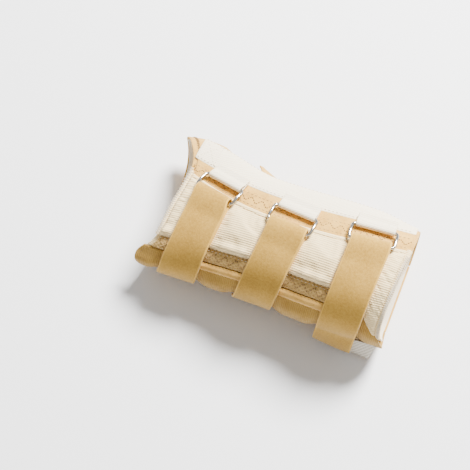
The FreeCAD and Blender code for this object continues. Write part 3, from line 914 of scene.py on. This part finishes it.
# ---- rings and tabs --------------------------------------
# Bright nickel wire, bent to an oblong and butted. Each hangs on a folded tab of white webbing
# that comes out from under the tape's lower edge.
def nickel(name, colour, roughness):
    material, add, link, surface = shader(name, roughness)
    surface.inputs["Metallic"].default_value = 1.0
    # Painted shade: the base colour darkens to a dark rim towards the edges seen at a grazing angle, in
    # place of dark surroundings in the reflection. The stay metals get the same.
    facing = add("ShaderNodeLayerWeight", Blend=0.5).outputs["Facing"]
    rim = tuple(c * 0.22 for c in colour)
    link(ramp(add, link, facing, [(0.25, colour), (0.8, rim)]), surface.inputs["Base Color"])
    return material


nickel_wire = nickel("nickel_wire", (0.58, 0.55, 0.50), 0.18)
wire_radius, ring_inside, ring_corner, bow = 1.0, 26.0, 2.4, 0.9
inner_bar_lift, outer_bar_lift, bore = 3.7, 4.5, 1.05


def ring_frame(strap):
    """Outer bar's middle, its direction, the direction to the inner bar, and the normal."""
    turn = math.radians(strap["turn"])

    def on_form(along, across, lift):
        x = strap["x"] + along * math.cos(turn) - across * math.sin(turn)
        y = strap["y"] + along * math.sin(turn) + across * math.cos(turn)
        return place(x, angle_at(x, y), lift)

    reach = strap_width / 2
    bar = on_form(reach, 0, outer_bar_lift) - on_form(-reach, 0, outer_bar_lift)
    bar /= np.linalg.norm(bar)
    centre = on_form(0, 0, outer_bar_lift)
    inner = on_form(0, ring_depth, inner_bar_lift) - centre
    inner -= bar * (inner @ bar)
    inner /= np.linalg.norm(inner)
    return centre, bar, inner, np.cross(bar, inner)


def in_frame(frame, x, y, z):
    centre, bar, inner, normal = frame
    return centre + np.outer(x, bar) + np.outer(y, inner) + np.outer(z, normal)


def wire_ring(name, frame, body):
    """A round wire swept along a rounded oblong whose short sides bow upwards a little."""
    wide, deep, r = ring_inside / 2 + wire_radius, ring_depth / 2, ring_corner
    path = []
    for corner, (x, y) in enumerate(((1, -1), (1, 1), (-1, 1), (-1, -1))):
        for turn in np.radians(np.linspace(0, 90, 9) + (270 + 90 * corner)):
            path.append((x * (wide - r) + r * math.cos(turn), y * (deep - r) + r * math.sin(turn)))
        if corner % 2 == 0:
            for y_side in np.linspace(-1, 1, 9)[1:-1]:
                path.append((x * wide, x * y_side * (deep - r)))
    path = np.array(path + path[:1])
    heights = bow * (1 - (path[:, 1] / deep) ** 2) ** 2 * smooth((np.abs(path[:, 0]) - wide + r) / r)
    line = np.column_stack([path, heights])
    tangent = np.roll(line[:-1], -1, 0) - np.roll(line[:-1], 1, 0)
    tangent = np.vstack([tangent, tangent[:1]])
    tangent /= np.linalg.norm(tangent, axis=1)[:, None]
    outward = np.cross(tangent, (0, 0, 1))
    outward /= np.linalg.norm(outward, axis=1)[:, None]
    upward = np.cross(outward, tangent)
    count = len(line) - 1

    def shape(u, v):
        i = np.rint(u * count).astype(int)
        swing = (2 * math.pi * v)[:, None]
        local = line[i] + wire_radius * (outward[i] * np.cos(swing) + upward[i] * np.sin(swing))
        return in_frame(frame, local[:, 0], local[:, 1] + deep, local[:, 2])
    return skin(name, count, 14, shape, (70, 5.6), nickel_wire, None, 0, body, closed=True)


def folded(name, frame, points, width, thickness, finish, body, lean=0.0):
    """A strip folded over a bar: points are its outer face's (y, z) section, in order."""
    points = np.array(points)
    lengths = np.r_[0, np.cumsum(np.linalg.norm(np.diff(points, axis=0), axis=1))]

    def shape(u, v):
        at = u * lengths[-1]
        y, z = np.interp(at, lengths, points[:, 0]), np.interp(at, lengths, points[:, 1])
        return in_frame(frame, (v - 0.5) * width + lean * y, y, z)
    return skin(
        name, max(12, round(lengths[-1] / 0.35)), max(4, round(width / 1.2)), shape,
        (lengths[-1], width), finish, thickness, 1, body)


frames = [ring_frame(strap) for strap in straps]
for number, (strap, ring) in enumerate(zip(straps, frames), 1):
    piece = wire_ring(f"wire_ring_{number}", ring, f"ring_{number}")
    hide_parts(f"ring_{number}")
    big = bore + 0.8
    turns = np.radians(np.linspace(90, 270, 17))
    loop = [(ring_depth + 9.5, -big + 0.15 + 1.6), (ring_depth + 5.0, 0.4), (ring_depth + 2.2, big * 0.86)]
    loop += [(ring_depth + big * math.cos(t), big * math.sin(t)) for t in turns]
    loop += [(ring_depth + 2.2, -big), (ring_depth + 9.5, -big + 0.15)]
    tab = folded(f"webbing_tab_{number}", ring, loop, 24.4, 0.72, white_webbing, "splint")
    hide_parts(f"ring_tab_{number}")


# ---- straps ----------------------------------------------
# Tan loop tape. Each strap is sewn in at the elastic's lower seam, goes up through its ring,
# folds back over the outer bar and closes round the little-finger side on a stiff hook patch.
selvedge_width = 1.0


def velour(name, light, mid, dark):
    """Brushed loop pile: a dense soft fuzz with faint lengthwise streaks."""
    material, add, link, surface = shader(name, 0.95, 0.12)
    coordinates = add("ShaderNodeTexCoord")
    fuzz = noise(add, link, coordinates.outputs["Object"], 2600, 5)
    curls = noise(add, link, coordinates.outputs["Object"], 700, 4)
    clouds = noise(add, link, coordinates.outputs["Object"], 55, 3)
    pile = weighted(add, link, (fuzz, 0.45), (curls, 0.35))
    tone = weighted(add, link, (pile, 1.0), (clouds, 0.28))
    colours = ramp(add, link, tone, [(0.38, dark), (0.54, mid), (0.70, light)])
    split = add("ShaderNodeSeparateXYZ")
    link(coordinates.outputs["UV"], split.inputs["Vector"])
    off_middle = sums(add, link, "SUBTRACT", split.outputs["Y"], strap_width / 2 * MM)
    from_middle = sums(add, link, "ABSOLUTE", off_middle)
    edge = sums(add, link, "GREATER_THAN", from_middle, (strap_width / 2 - selvedge_width) * MM)
    pale = tuple(min(1.0, c * 1.35) for c in light)
    colours = mixed(add, link, sums(add, link, "MULTIPLY", edge, 0.55), colours, pale)
    link(colours, surface.inputs["Base Color"])
    bump(add, link, surface, pile, 0.6, 0.0004)
    surface.inputs["Sheen Weight"].default_value = 0.45
    surface.inputs["Sheen Roughness"].default_value = 0.4
    surface.inputs["Sheen Tint"].default_value = (1.0, 0.90, 0.72, 1)
    return material


strap_velour = velour("strap_velour", (0.56, 0.33, 0.062), (0.46, 0.26, 0.042), (0.34, 0.18, 0.026))
hook_tape = webbing("hook_tape", (0.70, 0.65, 0.56), (0.42, 0.36, 0.27), 0.9)
strap_end_angle, bend_angle = 214.0, 156.0
fold_radius = bore + strap_thickness


def sprung(x, angle, strap):
    """The third strap's end stands off the sleeve, most at its cuff corner."""
    if strap is not straps[2]:
        return 0.0
    return (8.6 + 0.09 * (x - 53)) * np.clip((angle - 178) / 36, 0, None) ** 1.7


def flap_lift(x, angle, strap):
    """Outer face of the outer ply: high over the bar, then settling on what lies beneath."""
    first = strap_start(strap)(x)
    top = outer_bar_lift + bore + strap_thickness
    settled = through(angle, [(125, 4.6), (150, 3.9), (185, 1.75)])
    return top + (settled + sprung(x, angle, strap) - top) * smooth((angle - first) / 18)


def strap_surface(strap, ring, number):
    """Outer ply from just past the top of the fold to the strap's end: u along it, v across."""
    length_on_form = float(girth(
        np.array([strap["x"]]), bar_angle(strap, np.array([strap["x"]])), np.array([strap_end_angle]))[0])
    curl = fold_radius * math.radians(50)
    total = curl + length_on_form

    def shape(u, v):
        side = (v - 0.5) * strap_width * (1 - 0.012 * smooth((0.06 - u) / 0.06))
        ahead = u * total - curl
        turn = np.clip(-ahead / fold_radius, 0, None)
        on_bar = in_frame(
            ring, side, np.where(ahead < 0, fold_radius * np.sin(turn), -ahead),
            np.where(ahead < 0, fold_radius * np.cos(turn), fold_radius))
        x = strap["x"] + side
        for _ in range(4):
            first = bar_angle(strap, x)
            angle = first + np.clip(ahead, 0, None) / length_on_form * (strap_end_angle - first)
            x = strap_middle(strap, angle) + side
        sag = 0.10 * np.sin(angle * 0.16 + number) * np.sin(side * 0.25 + number)
        sag *= smooth((angle - first - 10) / 20)
        on_form = place(x, angle, flap_lift(x, angle, strap) + sag)
        share = smooth(ahead / 5)[:, None]
        return on_bar * (1 - share) + on_form * share
    midline = shape(np.linspace(0, 1, 400), np.full(400, 0.5))
    return shape, float(np.linalg.norm(np.diff(midline, axis=0), axis=1).sum())


for number, (strap, ring) in enumerate(zip(straps, frames), 1):
    shape, total = strap_surface(strap, ring, number)
    outer = skin(
        f"strap_{number}", round(total / 1.1), 20, shape, (total, strap_width), strap_velour,
        strap_thickness, 1, None, flip=True)
    turns = np.radians(np.linspace(52, -90, 20))
    loop = [(fold_radius * math.cos(t), fold_radius * math.sin(t)) for t in turns]
    loop += [(-0.6, -fold_radius), (-1.6, -fold_radius)]
    fold = folded(
        f"strap_{number}_turn", ring, loop, strap_width - 0.5, strap_thickness - 0.1, strap_velour,
        f"ring_{number}")
    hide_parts(f"strap_{number}_fold")
    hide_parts(f"strap_{number}_flap", f"strap_{number}_tip")

    def anchor_ends(side, strap=strap):
        return lambda a: strap_middle(strap, a) + side * strap_width / 2
    anchor = cloth(
        f"strap_{number}_lower_ply", (anchor_ends(-1), anchor_ends(1)),
        (strap_start(strap, 0.9), 127.3), 3.25, (1.6, 1.2), strap_velour, strap_thickness, 1, None,
        near=strap["x"])
    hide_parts(f"strap_{number}_anchor")

    if number < 3:
        hook = cloth(
            f"hook_patch_{number}", (anchor_ends(-0.95), anchor_ends(0.95)), (190.0, 213.0), 0.35,
            (1.5, 1.5), hook_tape, 0.5, 1, f"strap_end_{number}", near=strap["x"])
    else:
        def pinked(angle):
            return 78.5 - 0.12 * (angle - 200) + 1.5 * np.abs((angle * 0.42) % 1 - 0.5)
        hook = cloth(
            f"hook_patch_{number}",
            (57.0, pinked), (192.0, 219.5),
            lambda x, a, across, s=strap: flap_lift(x, a, s) - strap_thickness - 0.05, (1.2, 0.4),
            hook_tape, 1.0, 0, f"strap_end_{number}", near=strap["x"])
    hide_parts(f"hook_tab_{number}")

    middle_x = np.array([strap["x"]])
    above_bend, below_bend, seam_line = (
        Vector(place(middle_x, np.array([a]), 3.0)[0]) * MM
        for a in (bend_angle - 4, bend_angle + 4, 122.0))
    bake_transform(outer)
    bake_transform(anchor)


# ---- thumb opening ---------------------------------------
# A rolled suede binding round the oval hole for the thumb.
def rolled_binding():
    def shape(u, v):
        t, swing = 2 * math.pi * u, 2 * math.pi * v
        flare = 1.3 + 1.3 * np.cos(swing)
        x = hole_x + (hole_long + flare) * np.cos(t)
        aside = (hole_wide + flare) * np.sin(t)
        search = np.linspace(-85, 25, 221)
        angle = np.empty_like(x)
        for i in range(len(x)):
            line = (place(x[i], search, 0) - hole_centre) @ hole_side
            order = np.argsort(line)
            angle[i] = np.interp(aside[i], line[order], search[order])
        return place(x, angle, -1.25 + 1.37 * np.sin(swing))
    return skin("thumb_hole_binding", 96, 12, shape, (118, 8), tan_suede, None, 1, "splint", closed=True)


binding = rolled_binding()
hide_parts("thumb_binding")


# ---- palm stay and its pocket ----------------------------
# Under the palm a flat suede pocket, open towards the forearm, holds an aluminium stay whose two
# ends are dipped in vinyl.
def pocket_shape(u, v):
    x = -70 + 140 * u
    swing = 2 * math.pi * v
    pinch = 1 - 0.55 * smooth((-66 - x) / 4)
    wide = 15.5 * (1 - 0.18 * smooth((-64 - x) / 6) ** 2)
    c, s = np.cos(swing), np.sin(swing)
    y = wide * np.sign(c) * np.abs(c) ** 0.22
    z = 2.04 + 2.04 * pinch * np.sign(s) * np.abs(s) ** 0.22
    return np.stack([x, y, z], -1)


pocket = skin("stay_pocket", 100, 96, pocket_shape, (140, 70), tan_suede, 1.1, 0, "splint", closed=True)
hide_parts("palmar_pocket")

aluminium = nickel("stay_aluminium", (0.72, 0.73, 0.74), 0.38)
spring_steel = nickel("spring_steel", (0.50, 0.51, 0.53), 0.30)
vinyl, add, link, surface = shader("vinyl_cap", 0.35, 0.5)
dips = noise(add, link, add("ShaderNodeTexCoord").outputs["Object"], 400, 3)
stops = [(0.3, (0.62, 0.60, 0.55)), (0.7, (0.76, 0.74, 0.69))]
link(ramp(add, link, dips, stops), surface.inputs["Base Color"])
for node, finish in (
        ("palmar_stay", aluminium), ("palmar_stay_caps", vinyl), ("ulnar_stay", spring_steel)):
    solid = frame["nodes"][node]
    solid.data.materials.clear()
    solid.data.materials.append(finish)
